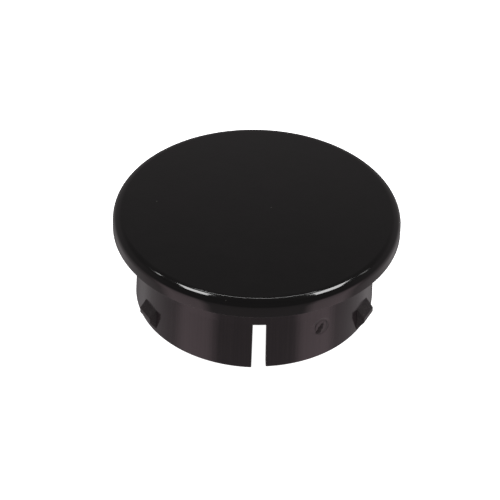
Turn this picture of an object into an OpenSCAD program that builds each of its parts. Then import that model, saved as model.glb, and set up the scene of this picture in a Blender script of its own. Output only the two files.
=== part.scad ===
// Snap-in cover cap for a round hole in a desk top or panel.
// A flat disc lies on the panel. Under it a short round skirt goes down the hole:
// an uncut collar next to the disc, then three fingers parted by slots.
// Each finger carries one wedge-shaped barb and bends inwards to let it pass the hole.
// The cap stands on its skirt: Z = 0 is the skirt's open end, and one slot faces -Y.

/* [Hole] */
// Diameter of the hole that the cap closes
hole_d = 35; // [30:0.5:60]
// Gap between the hole and the skirt, on each side
hole_play = 0.1; // [0.06:0.01:0.3]

/* [Disc] */
// How far the disc reaches past the edge of the hole
overhang = 3.5; // [2:0.1:6]
// Height of the disc's edge above the panel
disc_h = 2.7; // [2:0.1:4]
// Radius of the disc's rounded top edge
edge_r = 1.6; // [0.4:0.1:1.9]
// Thickness of the disc inside the skirt, where it is hollowed out
plate_t = 1.8; // [1.2:0.1:2]

/* [Skirt] */
// Wall thickness of the skirt
wall_t = 1.4; // [1:0.1:2]
// Length of the skirt below the panel's top face
skirt_l = 12.2; // [11:0.1:20]
// Height of the uncut collar between the disc and the slots
collar_h = 4.4; // [3:0.1:5]
// How far the right, rear and left fingers spread outwards at the skirt's open end
finger_flare = [0.1, 0.1, 0.3]; // [0.04:0.02:0.3]

/* [Slots] */
// Width of a slot at its closed end
slot_w_top = 1.9; // [1.9:0.05:4]
// Width of a slot at the skirt's open end
slot_w_end = 2.05; // [1.9:0.05:4]

/* [Barbs] */
// How far a barb's outer face stands out from the collar
barb_out = 1.15; // [0.6:0.05:1.15]
// Width of a barb at its outer face
barb_w = 3.1; // [2:0.1:5]
// Extra width at each side for every millimetre towards the skirt
barb_draft = 0.05; // [0:0.05:0.6]
// Height of a barb's upper edge on the skirt
barb_top_z = 4.1; // [3.4:0.1:5]
// Height of the upper edge of a barb's outer face
barb_high_z = 2.8; // [2.3:0.1:3.2]
// Height of the lower edge of a barb's outer face
barb_low_z = 2; // [1:0.1:2.2]
// Height of a barb's lower edge on the skirt
barb_end_z = 0.3; // [0.2:0.1:0.8]
// How far the two front barbs are turned away from the front slot, past mid finger, in degrees
barb_turn = 1.5; // [0:0.5:3]

/* [Gate mark] */
// Direction of the gate mark, in degrees from the slot that faces -Y
gate_az = 31; // [28:1:36]
// Height of the gate mark
gate_z = 5.45; // [5.2:0.05:6]
// Diameter of the shallow dimple that keeps the gate's stub below the surface
dimple_d = 3; // [2.4:0.1:3.2]
// Depth of the dimple
dimple_depth = 0.3; // [0.2:0.05:0.4]
// Length of the stub that is left where the gate broke off
stub_l = 2.2; // [1:0.1:2.2]
// Width of the stub
stub_w = 0.5; // [0.3:0.1:0.8]

/* [Hidden] */
// Angle from one finger to the next
finger_step = 120;
// Gap that keeps a finger's top face clear of the collar as the finger moves
root_gap = 0.02;
// How far the collar is let into the underside of the disc
collar_sink = 0.1;
// How far a barb's solid starts below the collar's surface, before it is cut to fit
barb_root = 0.3;
// Gap between the top of the gate's stub and the skirt's surface
stub_gap = 0.08;
// Tilt of the gate's stub from upright, towards the front slot at its lower end
stub_tilt = 32;
// How far a cutting solid runs past the face that it cuts
past = 1;
// Number of sides on the cone that fits a barb to its finger
fit_sides = 1440;

skirt_r = hole_d / 2 - hole_play;
bore_r = skirt_r - wall_t;
disc_r = hole_d / 2 + overhang;
slot_z = skirt_l - collar_h;

$fa = 2;
$fs = 0.2;

// Direction of finger n, in degrees from the slot that faces -Y, counted towards +X.
function finger_az(n) = finger_step / 2 + n * finger_step;

// Direction of the barb on finger n. The rear barb, n = 1, is in the middle of its finger.
function barb_az(n) = finger_az(n) + (1 - n) * barb_turn;

// Half of a slot's width at height z.
function slot_half(z) = (slot_w_end + (slot_w_top - slot_w_end) * z / slot_z) / 2;

// Half of a barb's width at distance x from the skirt's axis.
function barb_half(x) = barb_w / 2 + barb_draft * (skirt_r + barb_out - x);

// Turns a shape that is drawn facing +X to face a direction round the skirt.
module facing(az) {
    rotate([0, 0, az - 90]) children();
}

// Half section of finger n's wall, which leans outwards towards the open end.
module finger_section(n) {
    top_z = slot_z - root_gap;
    polygon([[bore_r, 0], [skirt_r + finger_flare[n], 0], [skirt_r, top_z], [bore_r, top_z]]);
}

// Half section of the disc, with its upper edge rounded.
module disc_section() {
    intersection() {
        square([disc_r, disc_h]);
        union() {
            square([disc_r - edge_r, disc_h]);
            square([disc_r, disc_h - edge_r]);
            translate([disc_r - edge_r, disc_h - edge_r]) circle(r = edge_r);
        }
    }
}

// Cutter for one slot, which narrows towards the collar.
module slot_cut() {
    low = -past;
    high = slot_z + past;
    outline = [
        [-slot_half(low), low], [slot_half(low), low],
        [slot_half(high), high], [-slot_half(high), high]
    ];
    translate([bore_r - past, 0, 0])
        rotate([90, 0, 90])
            linear_extrude(wall_t + 2 * past) polygon(outline);
}

// One finger: a third of the skirt's wall below the collar, less half a slot at each end.
module finger(n) {
    facing(finger_az(n))
        difference() {
            rotate([0, 0, -finger_step / 2])
                rotate_extrude(angle = finger_step) finger_section(n);
            for (side = [-1, 1])
                rotate([0, 0, side * finger_step / 2]) slot_cut();
        }
}

// One barb: a steep catch above, a flat outer face, and a ramp below that leads it into the hole.
module barb(n) {
    root_x = skirt_r - barb_root;
    face_x = skirt_r + barb_out;
    run = barb_root / barb_out;
    profile = [
        [root_x, barb_top_z + run * (barb_top_z - barb_high_z)],
        [face_x, barb_high_z],
        [face_x, barb_low_z],
        [root_x, barb_end_z - run * (barb_low_z - barb_end_z)]
    ];
    corners = [for (side = [-1, 1]) for (p = profile) [p.x, side * barb_half(p.x), p.y]];
    faces = [[0, 1, 2, 3], [7, 6, 5, 4], [0, 4, 5, 1], [1, 5, 6, 2], [2, 6, 7, 3], [3, 7, 4, 0]];
    facing(barb_az(n))
        difference() {
            polyhedron(corners, faces);
            finger_core(n);
        }
}

// The space inside finger n's outer face, past both ends of the finger.
module finger_core(n) {
    lean = finger_flare[n] / (slot_z - root_gap);
    translate([0, 0, -past])
        cylinder(
            r1 = skirt_r + finger_flare[n] + lean * past,
            r2 = skirt_r - lean * past,
            h = slot_z - root_gap + 2 * past,
            $fn = fit_sides
        );
}

// Shallow round dimple in the skirt's outer face.
module gate_dimple() {
    facing(gate_az)
        translate([skirt_r - dimple_depth, 0, gate_z])
            rotate([0, 90, 0]) cylinder(d = dimple_d, h = dimple_depth + past);
}

module cover_disc() {
    color("#1f1e1f")
        translate([0, 0, skirt_l])
            difference() {
                rotate_extrude() disc_section();
                translate([0, 0, -past]) cylinder(r = skirt_r, h = collar_sink + past);
                translate([0, 0, -past]) cylinder(r = bore_r, h = disc_h - plate_t + past);
            }
}

module skirt_collar() {
    color("#2b2628")
        rotate_extrude()
            translate([bore_r, slot_z]) square([wall_t, collar_h + collar_sink]);
}

module finger_right() {
    color("#2e282b")
        difference() {
            finger(0);
            gate_dimple();
        }
}

module finger_rear() {
    color("#2e282b") finger(1);
}

module finger_left() {
    color("#2e282b") finger(2);
}

module barb_right() {
    color("#242023") barb(0);
}

module barb_rear() {
    color("#242023") barb(1);
}

module barb_left() {
    color("#242023") barb(2);
}

module gate_vestige() {
    color("#1a1719")
        facing(gate_az)
            translate([skirt_r - dimple_depth, 0, gate_z])
                rotate([-stub_tilt, 0, 0])
                    translate([0, -stub_w / 2, -stub_l / 2])
                        cube([dimple_depth - stub_gap, stub_w, stub_l]);
}

cover_disc();
skirt_collar();
finger_right();
finger_rear();
finger_left();
barb_right();
barb_rear();
barb_left();
gate_vestige();
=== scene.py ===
"""Looks of a snap-in hole cover cap: finely shaped black moulded plastic round the CAD frame."""
import math

import bmesh
import bpy
from mathutils import Matrix, Quaternion, Vector


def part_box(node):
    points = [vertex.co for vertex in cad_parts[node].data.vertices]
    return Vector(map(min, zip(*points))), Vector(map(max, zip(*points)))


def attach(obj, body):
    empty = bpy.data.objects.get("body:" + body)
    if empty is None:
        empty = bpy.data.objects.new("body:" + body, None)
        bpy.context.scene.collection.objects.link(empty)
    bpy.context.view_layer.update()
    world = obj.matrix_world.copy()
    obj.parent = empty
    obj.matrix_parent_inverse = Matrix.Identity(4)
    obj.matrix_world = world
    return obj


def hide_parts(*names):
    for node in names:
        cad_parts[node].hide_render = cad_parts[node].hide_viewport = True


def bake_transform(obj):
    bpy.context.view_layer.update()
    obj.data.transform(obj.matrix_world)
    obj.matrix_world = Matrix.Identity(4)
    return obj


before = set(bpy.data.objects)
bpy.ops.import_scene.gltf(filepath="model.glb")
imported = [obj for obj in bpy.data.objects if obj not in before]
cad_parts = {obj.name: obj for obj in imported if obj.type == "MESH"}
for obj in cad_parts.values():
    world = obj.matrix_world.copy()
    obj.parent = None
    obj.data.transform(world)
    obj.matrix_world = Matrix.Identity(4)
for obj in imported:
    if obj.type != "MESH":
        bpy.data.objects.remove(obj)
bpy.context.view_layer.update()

MM = 0.001

# ---------------------------------------------------------------- sizes, read from the frame


def radius(v):
    return math.hypot(v.x, v.y)


def points_at(node, z, reach=0.02 * MM):
    """The corners of a CAD node that lie at height z."""
    return [v.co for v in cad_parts[node].data.vertices if abs(v.co.z - z) < reach]


# How near a mesh point has to lie to a face to count as on it
NEAR = 0.05 * MM

DISC_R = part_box("cover_disc")[1].x
TOP_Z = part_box("cover_disc")[1].z
SEAT_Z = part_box("cover_disc")[0].z
EDGE_R = DISC_R - max(radius(p) for p in points_at("cover_disc", TOP_Z))
SLOT_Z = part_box("skirt_collar")[0].z
COLLAR_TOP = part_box("skirt_collar")[1].z
SKIRT_R = max(radius(p) for p in points_at("skirt_collar", SLOT_Z))
BORE_R = min(radius(p) for p in points_at("skirt_collar", SLOT_Z))
PLATE_Z = max(
    v.co.z
    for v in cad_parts["cover_disc"].data.vertices
    if radius(v.co) < BORE_R + NEAR and v.co.z < TOP_Z - NEAR
)
FINGER_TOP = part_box("finger_right")[1].z
# The right finger's front end is the front slot's wall, half a slot away from X = 0
SLOT_HALF_LOW = min(p.x for p in points_at("finger_right", 0) if p.y < 0)
SLOT_HALF_HIGH = min(p.x for p in points_at("finger_right", FINGER_TOP) if p.y < 0)

rear_barb = [v.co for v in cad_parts["barb_rear"].data.vertices]
BARB_FACE = max(p.y for p in rear_barb)
barb_face = [p for p in rear_barb if p.y > BARB_FACE - 0.01 * MM]
BARB_HALF = max(p.x for p in barb_face)
BARB_LOW, BARB_HIGH = min(p.z for p in barb_face), max(p.z for p in barb_face)
barb_top = max(rear_barb, key=lambda p: p.z)
barb_end = min(rear_barb, key=lambda p: p.z)
BARB_ROOT_HALF = max(p.x for p in rear_barb)


def azimuth_of(node):
    """Direction of a node's middle, in degrees from the slot that faces -Y, counted towards +X."""
    low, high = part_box(node)
    middle = (low + high) / 2
    return math.degrees(math.atan2(middle.x, -middle.y)) % 360


# Direction of each finger, in degrees from the front slot, and half the angle to the next one
FINGERS = {"right": 60, "rear": 180, "left": 300}
HALF_STEP = 60
OPEN_R = {side: max(radius(p) for p in points_at(f"finger_{side}", 0)) for side in FINGERS}
GATE_AZ = azimuth_of("gate_vestige")
GATE_Z = (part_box("gate_vestige")[0].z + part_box("gate_vestige")[1].z) / 2
# The dimple's floor lies inside the wall, between the bore and the outer face
dimple_floor = [
    v.co.z
    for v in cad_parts["finger_right"].data.vertices
    if BORE_R + NEAR < radius(v.co) < SKIRT_R - NEAR and NEAR < v.co.z < FINGER_TOP - NEAR
]
RING_R = (max(dimple_floor) - min(dimple_floor)) / 2


def outer_r(side, z):
    """Outer radius of a finger at height z: it leans outwards towards the open end."""
    return OPEN_R[side] + (SKIRT_R - OPEN_R[side]) * z / SLOT_Z


def facing(azimuth):
    """The turn that takes a shape drawn facing +X to a direction round the cap."""
    return Matrix.Rotation(math.radians(azimuth - 90), 4, "Z")


# ---------------------------------------------------------------- mesh tools


def new_piece(name, mesh):
    piece = bpy.data.objects.new(name, mesh)
    bpy.context.scene.collection.objects.link(piece)
    return piece


def finish_mesh(name, bm, sharp_degrees=35):
    """A named object from bm, smooth shaded but for edges sharper than the given angle."""
    bmesh.ops.recalc_face_normals(bm, faces=bm.faces)
    for face in bm.faces:
        face.smooth = True
    for edge in bm.edges:
        if len(edge.link_faces) == 2 and edge.calc_face_angle(0) > math.radians(sharp_degrees):
            edge.smooth = False
    mesh = bpy.data.meshes.new(name)
    bm.to_mesh(mesh)
    bm.free()
    return new_piece(name, mesh)


def rounded(corners, steps=14):
    """An outline through corners, each (x, y, radius), with its corners turned into arcs."""
    outline = []
    for i, (x, y, r) in enumerate(corners):
        here = Vector((x, y))
        if r <= 0:
            outline.append(here)
            continue
        before = Vector(corners[i - 1][:2]) - here
        after = Vector(corners[(i + 1) % len(corners)][:2]) - here
        half = before.angle(after) / 2
        reach = r / math.tan(half)
        a, b = here + before.normalized() * reach, here + after.normalized() * reach
        centre = here + (before.normalized() + after.normalized()).normalized() * (r / math.sin(half))
        bend = (a - centre).angle_signed(b - centre)
        for k in range(steps + 1):
            outline.append(centre + Matrix.Rotation(-bend * k / steps, 2) @ (a - centre))
    return outline


def lathe(name, outline, around=288):
    """A solid turned about the Z axis from a closed outline of (r, z) points."""
    bm = bmesh.new()
    rings = []
    on_axis = 1e-7
    for p in outline:
        if p.x < on_axis:
            rings.append([bm.verts.new((0, 0, p.y))])
            continue
        turns = [2 * math.pi * k / around for k in range(around)]
        rings.append([bm.verts.new((p.x * math.cos(t), p.x * math.sin(t), p.y)) for t in turns])
    for a, b in zip(rings, rings[1:] + rings[:1]):
        if len(a) == 1 and len(b) == 1:
            continue
        for k in range(around):
            m = (k + 1) % around
            corners = [a[k % len(a)], a[m % len(a)], b[m % len(b)], b[k % len(b)]]
            bm.faces.new(list(dict.fromkeys(corners)))
    return finish_mesh(name, bm)


def block(size, place):
    """The closed surface of a grid of cells. place(i, j, k) says where each grid point lies."""
    ni, nj, nk = size
    bm = bmesh.new()
    made = {}

    def vert(i, j, k):
        if (i, j, k) not in made:
            made[i, j, k] = bm.verts.new(place(i, j, k))
        return made[i, j, k]

    def sheet(count_a, count_b, at):
        for a in range(count_a):
            for b in range(count_b):
                square = [at(a, b), at(a + 1, b), at(a + 1, b + 1), at(a, b + 1)]
                bm.faces.new([vert(*c) for c in square])

    for end in (0, nk):
        sheet(ni, nj, lambda a, b, e=end: (a, b, e))
    for end in (0, nj):
        sheet(ni, nk, lambda a, b, e=end: (a, e, b))
    for end in (0, ni):
        sheet(nj, nk, lambda a, b, e=end: (e, a, b))
    return bm


def round_edges(bm, width, keep):
    """Rounds the sharp edges of bm, apart from those that keep() picks."""
    bmesh.ops.recalc_face_normals(bm, faces=bm.faces)
    least = math.radians(25)
    sharp = [
        e for e in bm.edges
        if len(e.link_faces) == 2 and e.calc_face_angle(0) > least and not keep(e)
    ]
    bmesh.ops.bevel(
        bm, geom=sharp, offset=width, segments=3, profile=0.5,
        affect="EDGES", clamp_overlap=True,
    )


def stations(low, high, step, fine, fine_step):
    """Positions from low to high, step apart, and fine_step apart inside the range fine, if any."""
    narrowest = 0.4 * step
    found = [low]
    while found[-1] < high - 1e-9:
        here = found[-1]
        close = fine is not None and fine[0] <= here < fine[1]
        ahead = here + (fine_step if close else step)
        if fine is not None and here < fine[0] < ahead:
            ahead = fine[0]
        found.append(min(ahead, high))
    if len(found) > 2 and found[-1] - found[-2] < narrowest:
        del found[-2]
    return found


# ---------------------------------------------------------------- pieces


def make_disc():
    """The flat disc: a wide round top edge, a barely eased lower edge, and a hollow inside the skirt."""
    eased, inside = 0.03 * MM, 0.35 * MM
    outline = rounded([
        (0, TOP_Z, 0), (DISC_R, TOP_Z, EDGE_R), (DISC_R, SEAT_Z, eased),
        (SKIRT_R, SEAT_Z, 0), (SKIRT_R, COLLAR_TOP, 0), (BORE_R, COLLAR_TOP, 0),
        (BORE_R, PLATE_Z, inside), (0, PLATE_Z, 0),
    ])
    return lathe("disc_face", outline)


def make_collar():
    """The uncut ring of the skirt, let into the underside of the disc."""
    return lathe("skirt_ring", rounded([
        (BORE_R, SLOT_Z, 0), (SKIRT_R, SLOT_Z, 0), (SKIRT_R, COLLAR_TOP, 0), (BORE_R, COLLAR_TOP, 0),
    ]))


RING_DEPTH = 0.06 * MM


def smooth_step(t):
    """0 below t = 0, 1 above t = 1, and a smooth rise between them."""
    t = min(1.0, max(0.0, t))
    return t * t * (3 - 2 * t)


def gate_ring(distance):
    """How deep the gate's ring lies at a distance from its middle: a groove round a raised pad."""
    wall, groove, pad_rise = 0.28 * MM, 2.2, 0.75
    outer = 1 - smooth_step((distance - RING_R + wall) / wall)
    inner = 1 - smooth_step((distance - RING_R + groove * wall) / wall)
    return RING_DEPTH * (outer - pad_rise * inner)


def make_finger(side):
    """One finger of the skirt, as a bent block of wall between two slots."""
    azimuth = FINGERS[side]
    gate_turn = math.radians(GATE_AZ - azimuth)
    near_gate = side == "right"
    reach = RING_R + 0.1 * MM
    reach_turn = reach / SKIRT_R
    fine_turn = (gate_turn - reach_turn, gate_turn + reach_turn) if near_gate else None
    fine_z = (GATE_Z - reach, GATE_Z + reach) if near_gate else None
    step_turn, step_z, fine_step = math.radians(1.25), 0.4 * MM, 0.07 * MM
    limit = math.radians(HALF_STEP)
    turns = stations(-limit, limit, step_turn, fine_turn, fine_step / SKIRT_R)
    heights = stations(0, SLOT_Z, step_z, fine_z, fine_step)
    layers, edge_r = 4, 0.13 * MM

    def place(i, j, k):
        z = heights[k]
        slot_half = SLOT_HALF_LOW + (SLOT_HALF_HIGH - SLOT_HALF_LOW) * z / SLOT_Z
        r = BORE_R + (outer_r(side, z) - BORE_R) * j / layers
        squeeze = 1 - math.asin(slot_half / r) / limit
        turn = turns[i] * squeeze
        if near_gate and j == layers:
            across = (turn - gate_turn) * r
            r -= gate_ring(math.hypot(across, z - GATE_Z))
        return Vector((r * math.cos(turn), r * math.sin(turn), z))

    bm = block((len(turns) - 1, layers, len(heights) - 1), place)
    top = SLOT_Z - 0.01 * MM
    round_edges(bm, edge_r, keep=lambda e: min(v.co.z for v in e.verts) > top or mid_wall(e))
    bmesh.ops.transform(bm, matrix=facing(azimuth), verts=bm.verts)
    return finish_mesh(f"skirt_finger_{side}", bm)


def mid_wall(edge):
    """Whether an edge lies well inside the outer wall face, as the gate ring's edges do."""
    mid_r, low_z, widest = (BORE_R + SKIRT_R) / 2, 1 * MM, math.radians(50)
    return all(
        radius(v.co) > mid_r and v.co.z > low_z and abs(math.atan2(v.co.y, v.co.x)) < widest
        for v in edge.verts
    )


def make_barb(side):
    """One snap barb: catch face above, flat nose, long ramp below, with softly rounded edges."""
    sunk, edge_r = 0.12 * MM, 0.05 * MM
    root = SKIRT_R - sunk
    draft = (BARB_ROOT_HALF - BARB_HALF) / (BARB_FACE - SKIRT_R)
    # The catch and the ramp carry on at their own slopes down to the sunken root
    high_root = BARB_HIGH + (barb_top.z - BARB_HIGH) * (BARB_FACE - root) / (BARB_FACE - barb_top.y)
    low_root = BARB_LOW + (barb_end.z - BARB_LOW) * (BARB_FACE - root) / (BARB_FACE - barb_end.y)
    rows = 6

    def place(i, j, k):
        x = root + (BARB_FACE - root) * j
        half = BARB_HALF + draft * (BARB_FACE - x)
        high, low = (BARB_HIGH, BARB_LOW) if j else (high_root, low_root)
        return Vector((x, half * (2 * i / rows - 1), low + (high - low) * k))

    bm = block((rows, 1, 1), place)
    back = root + 0.01 * MM
    round_edges(bm, edge_r, keep=lambda e: max(v.co.x for v in e.verts) < back)
    bmesh.ops.transform(bm, matrix=facing(azimuth_of(f"barb_{side}")), verts=bm.verts)
    return finish_mesh(f"snap_barb_{side}", bm, sharp_degrees=40)


def make_gate_stub():
    """The torn stub of the moulding gate: a ragged ridge inside its ring, thicker at the lower end."""
    length, width, height = 1.45 * RING_R, 0.8 * MM, 0.17 * MM
    tilt = math.radians(28)
    along, across = 26, 9
    off_centre, off_z, sunk = 0.16 * MM, 0.3 * MM, 0.04 * MM
    pad = outer_r("right", GATE_Z) - gate_ring(0)
    root = pad - sunk

    def place(i, j, k):
        """u runs along the stub from its lower end to its upper end, v across it."""
        u, v = 2 * i / along - 1, 2 * j / across - 1
        # A sum of uneven waves looks torn, and comes out the same each run
        ragged = 0.5 * math.sin(u * 11 + 1) + 0.3 * math.sin(u * 23 + v * 7)
        ragged += 0.2 * math.sin(v * 19 + u * 5)
        thick = (1 - u ** 4) * (1 - 0.5 * v * v) * (0.8 + 0.3 * ragged) * (0.7 - 0.4 * u)
        half = width / 2 * (1 - 0.5 * u * u) * (1 - 0.35 * u) * (1 + 0.18 * ragged)
        x = root + k * height * max(0.15, thick)
        return Vector((x, v * half, u * length / 2))

    bm = block((along, across, 1), place)
    turn = Matrix.Rotation(-tilt, 4, "X")
    lift = Matrix.Translation((0, 0, GATE_Z - off_z))
    azimuth = GATE_AZ - math.degrees(off_centre / SKIRT_R)
    bmesh.ops.transform(bm, matrix=facing(azimuth) @ lift @ turn, verts=bm.verts)
    return finish_mesh("gate_stub", bm, sharp_degrees=30)


# ---------------------------------------------------------------- materials


class Nodes:
    """A short way to write the nodes of a material or of the world."""

    def __init__(self, owner, shader="Principled BSDF"):
        owner.use_nodes = True
        self.material = owner
        self.tree = owner.node_tree
        self.shader = self.tree.nodes[shader]

    def add(self, kind, **settings):
        """A new node. A setting called in_From_Min is the value of its input From Min."""
        node = self.tree.nodes.new(kind)
        for key, value in settings.items():
            if key.startswith("in_"):
                node.inputs[key[3:].replace("_", " ")].default_value = value
            else:
                setattr(node, key, value)
        return node

    def link(self, a, b):
        self.tree.links.new(a, b)

    def ramp(self, source, low, high, dark, light):
        """Maps source from low..high to dark..light."""
        node = self.add(
            "ShaderNodeMapRange",
            in_From_Min=low, in_From_Max=high, in_To_Min=dark, in_To_Max=light,
        )
        self.link(source, node.inputs["Value"])
        return node.outputs["Result"]

    def mix(self, factor, a, b):
        """Colour a where factor is 0, b where it is 1."""
        node = self.add("ShaderNodeMix", data_type="RGBA")
        node.inputs["A"].default_value = (*a, 1)
        node.inputs["B"].default_value = (*b, 1)
        self.link(factor, node.inputs["Factor"])
        return node.outputs["Result"]

    def noise(self, vector, scale, detail, roughness=0.5):
        node = self.add("ShaderNodeTexNoise", in_Scale=scale, in_Detail=detail, in_Roughness=roughness)
        self.link(vector, node.inputs["Vector"])
        return node.outputs["Fac"]

    def math(self, operation, a, b=None):
        node = self.add("ShaderNodeMath", operation=operation)
        for value, socket in zip((a, b), node.inputs):
            if isinstance(value, (int, float)):
                socket.default_value = value
            elif value is not None:
                self.link(value, socket)
        return node.outputs[0]

    def greys(self, turn, stops):
        """Brightness over direction. Each stop is degrees away from -Y, a brightness and a warmth."""
        node = self.add("ShaderNodeValToRGB")
        points = node.color_ramp.elements
        while len(points) < len(stops):
            points.new(0.5)
        for point, (degrees, level, warmth) in zip(points, stops):
            point.position = degrees / 180
            point.color = (level, level * (1 - 0.2 * warmth), level * (1 - 0.15 * warmth), 1)
        self.link(turn, node.inputs[0])
        return node.outputs["Color"]

    def fade(self, source, low, high, a, b):
        """Colour a where source is below low, b where it is above high."""
        share = self.add(
            "ShaderNodeMapRange",
            in_From_Min=low, in_From_Max=high, interpolation_type="SMOOTHSTEP",
        )
        self.link(source, share.inputs["Value"])
        node = self.add("ShaderNodeMix", data_type="RGBA")
        self.link(share.outputs["Result"], node.inputs["Factor"])
        self.link(a, node.inputs["A"])
        self.link(b, node.inputs["B"])
        return node.outputs["Result"]

    def bump(self, height, distance, normal=None):
        node = self.add("ShaderNodeBump", in_Strength=1.0, in_Distance=distance)
        self.link(height, node.inputs["Height"])
        if normal is not None:
            self.link(normal, node.inputs["Normal"])
        return node.outputs["Normal"]


def gloss_plastic():
    """Polished black plastic: a faint orange peel, hairline rubs and a few specks of dust."""
    n = Nodes(bpy.data.materials.new("gloss_black_plastic"))
    place = n.add("ShaderNodeTexCoord").outputs["Object"]
    peel = n.noise(place, scale=900, detail=2)
    rubs = n.noise(place, scale=260, detail=6, roughness=0.65)
    n.shader.inputs["IOR"].default_value = 1.49
    dust = n.add("ShaderNodeTexVoronoi", in_Scale=420)
    n.link(place, dust.inputs["Vector"])
    pick = n.add("ShaderNodeSeparateXYZ")
    n.link(dust.outputs["Color"], pick.inputs[0])
    bare_share, speck_r = 0.85, 0.055
    chosen = n.math("GREATER_THAN", pick.outputs["X"], bare_share)
    speck = n.math("MULTIPLY", n.math("LESS_THAN", dust.outputs["Distance"], speck_r), chosen)
    black = n.mix(n.ramp(rubs, 0.35, 0.7, 0, 1), (0.0030, 0.0027, 0.0027), (0.0038, 0.0034, 0.0034))
    dusty = n.add("ShaderNodeMix", data_type="RGBA")
    dusty.inputs["B"].default_value = (0.028, 0.026, 0.025, 1)
    n.link(speck, dusty.inputs["Factor"])
    n.link(black, dusty.inputs["A"])
    n.link(dusty.outputs["Result"], n.shader.inputs["Base Color"])
    n.link(n.ramp(rubs, 0.3, 0.75, 0.06, 0.1), n.shader.inputs["Roughness"])
    n.link(n.bump(peel, 0.004 * MM), n.shader.inputs["Normal"])
    return n.material


def satin_plastic(streaks):
    """Semi-gloss black plastic. With streaks it has fine draw lines, and without them dents and scuffs."""
    n = Nodes(bpy.data.materials.new("satin_black_plastic" + ("_drawn" if streaks else "")))
    place = n.add("ShaderNodeTexCoord").outputs["Object"]
    grain = n.noise(place, scale=1500, detail=3)
    n.shader.inputs["IOR"].default_value = 1.46
    if streaks:
        parts = n.add("ShaderNodeSeparateXYZ")
        n.link(place, parts.inputs[0])
        turn = n.add("ShaderNodeMath", operation="ARCTAN2")
        n.link(parts.outputs["Y"], turn.inputs[0])
        n.link(parts.outputs["X"], turn.inputs[1])
        stretch = n.add("ShaderNodeCombineXYZ")
        n.link(turn.outputs[0], stretch.inputs["X"])
        n.link(parts.outputs["Z"], stretch.inputs["Z"])
        lines = n.noise(stretch.outputs[0], scale=34, detail=5, roughness=0.6)
        shade = n.mix(n.ramp(lines, 0.3, 0.7, 0, 1), (0.020, 0.0165, 0.0185), (0.031, 0.0255, 0.0280))
        n.link(shade, n.shader.inputs["Base Color"])
        n.link(n.ramp(lines, 0.3, 0.7, 0.1, 0.18), n.shader.inputs["Roughness"])
        first = n.bump(lines, 0.008 * MM)
        n.link(n.bump(grain, 0.003 * MM, normal=first), n.shader.inputs["Normal"])
    else:
        wear = n.noise(place, scale=300, detail=3)
        dents = n.noise(place, scale=2100, detail=3, roughness=0.6)
        scuffs = n.ramp(n.noise(place, scale=4300, detail=3), 0.45, 0.75, 0, 1)
        shade = n.mix(scuffs, (0.021, 0.0175, 0.0180), (0.048, 0.0410, 0.0420))
        n.link(shade, n.shader.inputs["Base Color"])
        n.link(n.ramp(wear, 0.3, 0.7, 0.26, 0.36), n.shader.inputs["Roughness"])
        first = n.bump(dents, 0.035 * MM)
        n.link(n.bump(grain, 0.006 * MM, normal=first), n.shader.inputs["Normal"])
    return n.material


def torn_plastic():
    """Dull, rough black plastic where the gate tore off."""
    n = Nodes(bpy.data.materials.new("torn_black_plastic"))
    place = n.add("ShaderNodeTexCoord").outputs["Object"]
    tear = n.noise(place, scale=3200, detail=4, roughness=0.7)
    n.shader.inputs["Specular IOR Level"].default_value = 0.25
    shade = n.mix(n.ramp(tear, 0.3, 0.7, 0, 1), (0.011, 0.009, 0.0095), (0.034, 0.028, 0.029))
    n.link(shade, n.shader.inputs["Base Color"])
    n.link(n.ramp(tear, 0.3, 0.7, 0.45, 0.75), n.shader.inputs["Roughness"])
    n.link(n.bump(tear, 0.05 * MM), n.shader.inputs["Normal"])
    return n.material


def white_table():
    """A white table that glows evenly, with the faintest mottling, and is clear from below."""
    n = Nodes(bpy.data.materials.new("white_table"))
    place = n.add("ShaderNodeTexCoord").outputs["Object"]
    white = n.mix(n.noise(place, scale=30, detail=2), (1.0, 1.0, 1.0), (0.99, 0.99, 0.99))
    n.link(white, n.shader.inputs["Base Color"])
    n.link(white, n.shader.inputs["Emission Color"])
    n.shader.inputs["Emission Strength"].default_value = 1.05
    n.shader.inputs["Roughness"].default_value = 1.0
    n.shader.inputs["Specular IOR Level"].default_value = 0.0
    clear = n.add("ShaderNodeBsdfTransparent")
    cut = n.add("ShaderNodeMixShader")
    n.link(n.add("ShaderNodeNewGeometry").outputs["Backfacing"], cut.inputs["Fac"])
    n.link(n.shader.outputs[0], cut.inputs[1])
    n.link(clear.outputs[0], cut.inputs[2])
    n.link(cut.outputs[0], n.tree.nodes["Material Output"].inputs["Surface"])
    return n.material


GLOSS = gloss_plastic()
DRAWN = satin_plastic(True)
SATIN = satin_plastic(False)
TORN = torn_plastic()


def dress(piece, material):
    """Gives a piece its material."""
    piece.data.materials.append(material)
    return piece


disc = dress(make_disc(), GLOSS)
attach(disc, "cap")
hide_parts("cover_disc")

collar = dress(make_collar(), DRAWN)
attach(collar, "cap")
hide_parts("skirt_collar")

for side in FINGERS:
    body = f"{side}_finger"
    finger = dress(make_finger(side), DRAWN)
    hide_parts(f"finger_{side}")
    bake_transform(finger)
    barb = dress(make_barb(side), SATIN)
    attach(barb, body)
    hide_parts(f"barb_{side}")

stub = dress(make_gate_stub(), TORN)
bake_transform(stub)
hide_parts("gate_vestige")

# ---------------------------------------------------------------- studio

LAMP_HEIGHT = 1.0


def make_floor():
    """A white table top that is only a backdrop: it casts and catches no shadow."""
    half, drop = 1.5, -0.02 * MM
    corners = [(-half, -half, drop), (half, -half, drop), (half, half, drop), (-half, half, drop)]
    mesh = bpy.data.meshes.new("table_top")
    mesh.from_pydata(corners, [], [(0, 1, 2, 3)])
    floor = new_piece("table_top", mesh)
    floor.data.materials.append(white_table())
    floor.visible_diffuse = False
    floor.visible_glossy = False
    floor.visible_shadow = False


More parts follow.
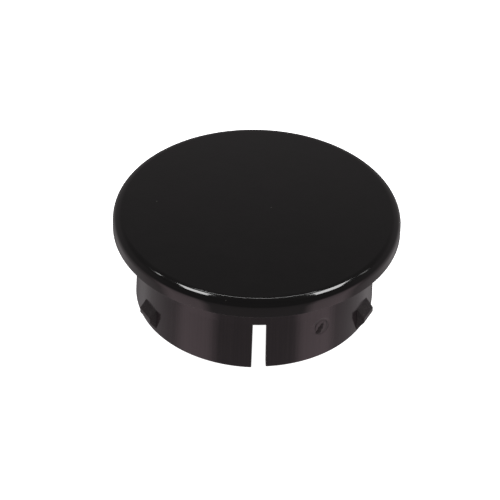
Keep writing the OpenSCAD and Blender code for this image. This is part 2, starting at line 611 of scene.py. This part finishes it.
def softbox(name, x, y, size, radiance, turn=0):
    """A soft box that hangs level above the table, shines down, and is x and y metres from the cap."""
    data = bpy.data.lights.new(name, "AREA")
    data.shape = "RECTANGLE"
    data.size, data.size_y = size
    data.energy = radiance * math.pi * size[0] * size[1]
    lamp = bpy.data.objects.new(name, data)
    bpy.context.scene.collection.objects.link(lamp)
    lamp.location = (x, y, LAMP_HEIGHT)
    lamp.rotation_euler = (0, 0, math.radians(turn))


def make_camera():
    """A long lens at the height and distance of a product shot."""
    azimuth, elevation, distance = -2.75, 39.5, 373 * MM
    roll = 1.53
    aim = Vector((-0.85, 0.54, 7.1)) * MM
    a, e = math.radians(azimuth), math.radians(elevation)
    data = bpy.data.cameras.new("camera")
    data.lens, data.sensor_width = 180, 36
    data.clip_start, data.clip_end = 0.01, 20
    camera = bpy.data.objects.new("camera", data)
    bpy.context.scene.collection.objects.link(camera)
    out = Vector((math.sin(a) * math.cos(e), -math.cos(a) * math.cos(e), math.sin(e)))
    camera.location = out * distance
    camera.rotation_mode = "QUATERNION"
    look = (aim - camera.location).to_track_quat("-Z", "Y")
    camera.rotation_quaternion = look @ Quaternion((0, 0, 1), math.radians(roll))
    bpy.context.scene.camera = camera


def make_world():
    """The room round the table, as the plastic mirrors it: bright at the sides, dark in front."""
    world = bpy.data.worlds.new("studio")
    n = Nodes(world, "Background")
    parts = n.add("ShaderNodeSeparateXYZ")
    n.link(n.add("ShaderNodeTexCoord").outputs["Generated"], parts.inputs[0])
    side = n.math("ABSOLUTE", parts.outputs["X"])
    ahead = n.math("MULTIPLY", parts.outputs["Y"], -1)
    turn = n.math("DIVIDE", n.math("ARCTAN2", side, ahead), math.pi)
    height = parts.outputs["Z"]
    table = n.greys(turn, (
        (0, 0.33, 0.5), (37, 0.33, 0.5), (46, 1.05, 1), (72, 1.0, 1),
        (84, 0.42, 0.7), (105, 0.45, 0.5), (135, 0.5, 0.3), (160, 0.17, 0.3),
    ))
    below = n.greys(turn, ((0, 1.1, 0.5), (180, 1.0, 0.5)))
    walls = n.greys(turn, ((0, 0.16, 0.2), (60, 0.16, 0.2), (100, 0.25, 0.3), (180, 0.3, 0.3)))
    ceiling = n.greys(turn, ((0, 0.14, 0.2), (60, 0.14, 0.2), (100, 0.15, 0.2), (180, 0.16, 0.2)))
    table = n.fade(height, -0.97, -0.8, below, table)
    low = n.fade(height, -0.3, 0.05, table, walls)
    n.link(n.fade(height, 0.45, 0.75, low, ceiling), n.shader.inputs["Color"])
    bpy.context.scene.world = world


make_floor()
softbox("left_box", -0.45, -0.06, (0.25, 0.46), 13, turn=-29)
softbox("right_box", 0.57, -0.02, (0.32, 0.52), 13, turn=31)
softbox("left_lamp", -0.69, 0.26, (0.16, 0.07), 9, turn=20)
softbox("right_lamp", 0.98, 0.27, (0.34, 0.06), 4)
softbox("back_strip", 0.03, 0.37, (0.5, 0.03), 16)
make_camera()
make_world()
bpy.context.scene.view_settings.view_transform = "Standard"
